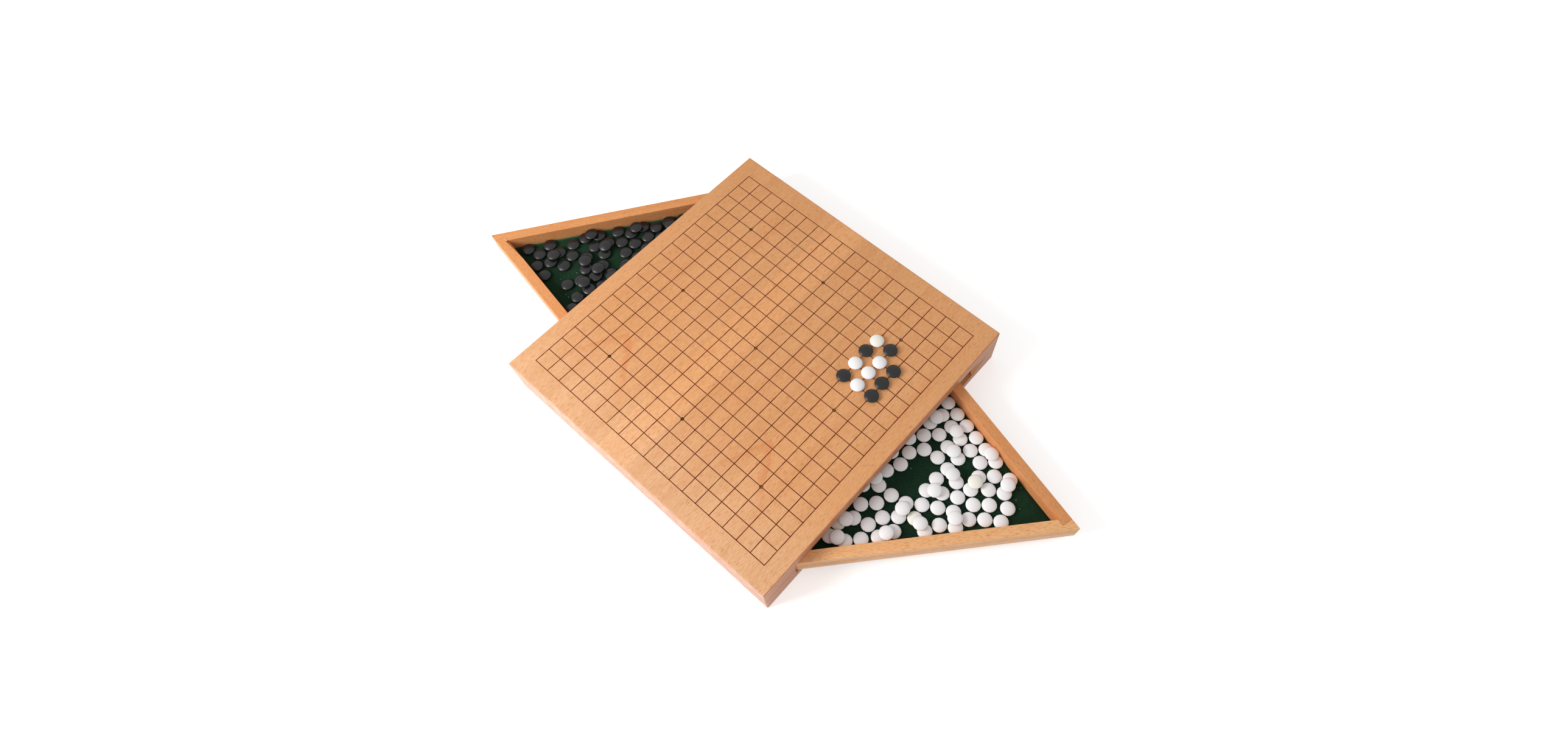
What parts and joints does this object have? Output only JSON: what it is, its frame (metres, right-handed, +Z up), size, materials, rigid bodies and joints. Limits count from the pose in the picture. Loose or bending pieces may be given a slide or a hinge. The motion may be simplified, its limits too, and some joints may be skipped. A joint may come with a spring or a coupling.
{
  "type": "go board with stone drawers",
  "caption": "Square wooden board game box with an engraved playing grid on top and two three-cornered drawers that swing out of opposite sides to hold the playing stones.",
  "frame": {"origin": "centre of the board's underside, where it stands on the table", "axes": "+Z up; the white stones' drawer opens through the -Y side and the black stones' drawer through the +Y side; +X runs along the grain"},
  "size_m": [0.3, 0.579, 0.0477],
  "materials": {
    "beech_top": "clear satin varnish on beech, fine dark flecks along X",
    "beech_sides": "clear satin varnish on beech",
    "beech_rails": "clear satin varnish on beech",
    "drawer_floor": "bare plywood",
    "green_felt": "short dark green flock",
    "white_stone": "satin, slightly warm white, a few cream",
    "black_stone": "satin near-black",
    "steel_pin": "plain steel rod"
  },
  "bodies": {
    "box": {"top_board": "beech_top", "bottom_board": "beech_sides", "left_block": "beech_sides", "right_block": "beech_sides", "centre_divider": "beech_sides", "white_pivot_pin": "steel_pin", "black_pivot_pin": "steel_pin", "white_stones_on_board": "white_stone", "black_stones_on_board": "black_stone"},
    "white_drawer": {"white_drawer_front_rail": "beech_rails", "white_drawer_end_rail": "beech_rails", "white_drawer_inner_rail": "beech_rails", "white_drawer_floor": "drawer_floor", "white_drawer_felt": "green_felt", "white_stones_in_drawer": "white_stone"},
    "black_drawer": {"black_drawer_front_rail": "beech_rails", "black_drawer_end_rail": "beech_rails", "black_drawer_inner_rail": "beech_rails", "black_drawer_floor": "drawer_floor", "black_drawer_felt": "green_felt", "black_stones_in_drawer": "black_stone"}
  },
  "joints": [
    {"name": "white_drawer_swing", "type": "hinge", "parent": "box", "child": "white_drawer", "pos_m": [-0.1104, -0.1452, 0.02], "axis": [0, 0, 1], "range_deg": [-5.9, 41.8]},
    {"name": "black_drawer_swing", "type": "hinge", "parent": "box", "child": "black_drawer", "pos_m": [0.1104, 0.1452, 0.02], "axis": [0, 0, 1], "range_deg": [-12.5, 35.2]}
  ]
}
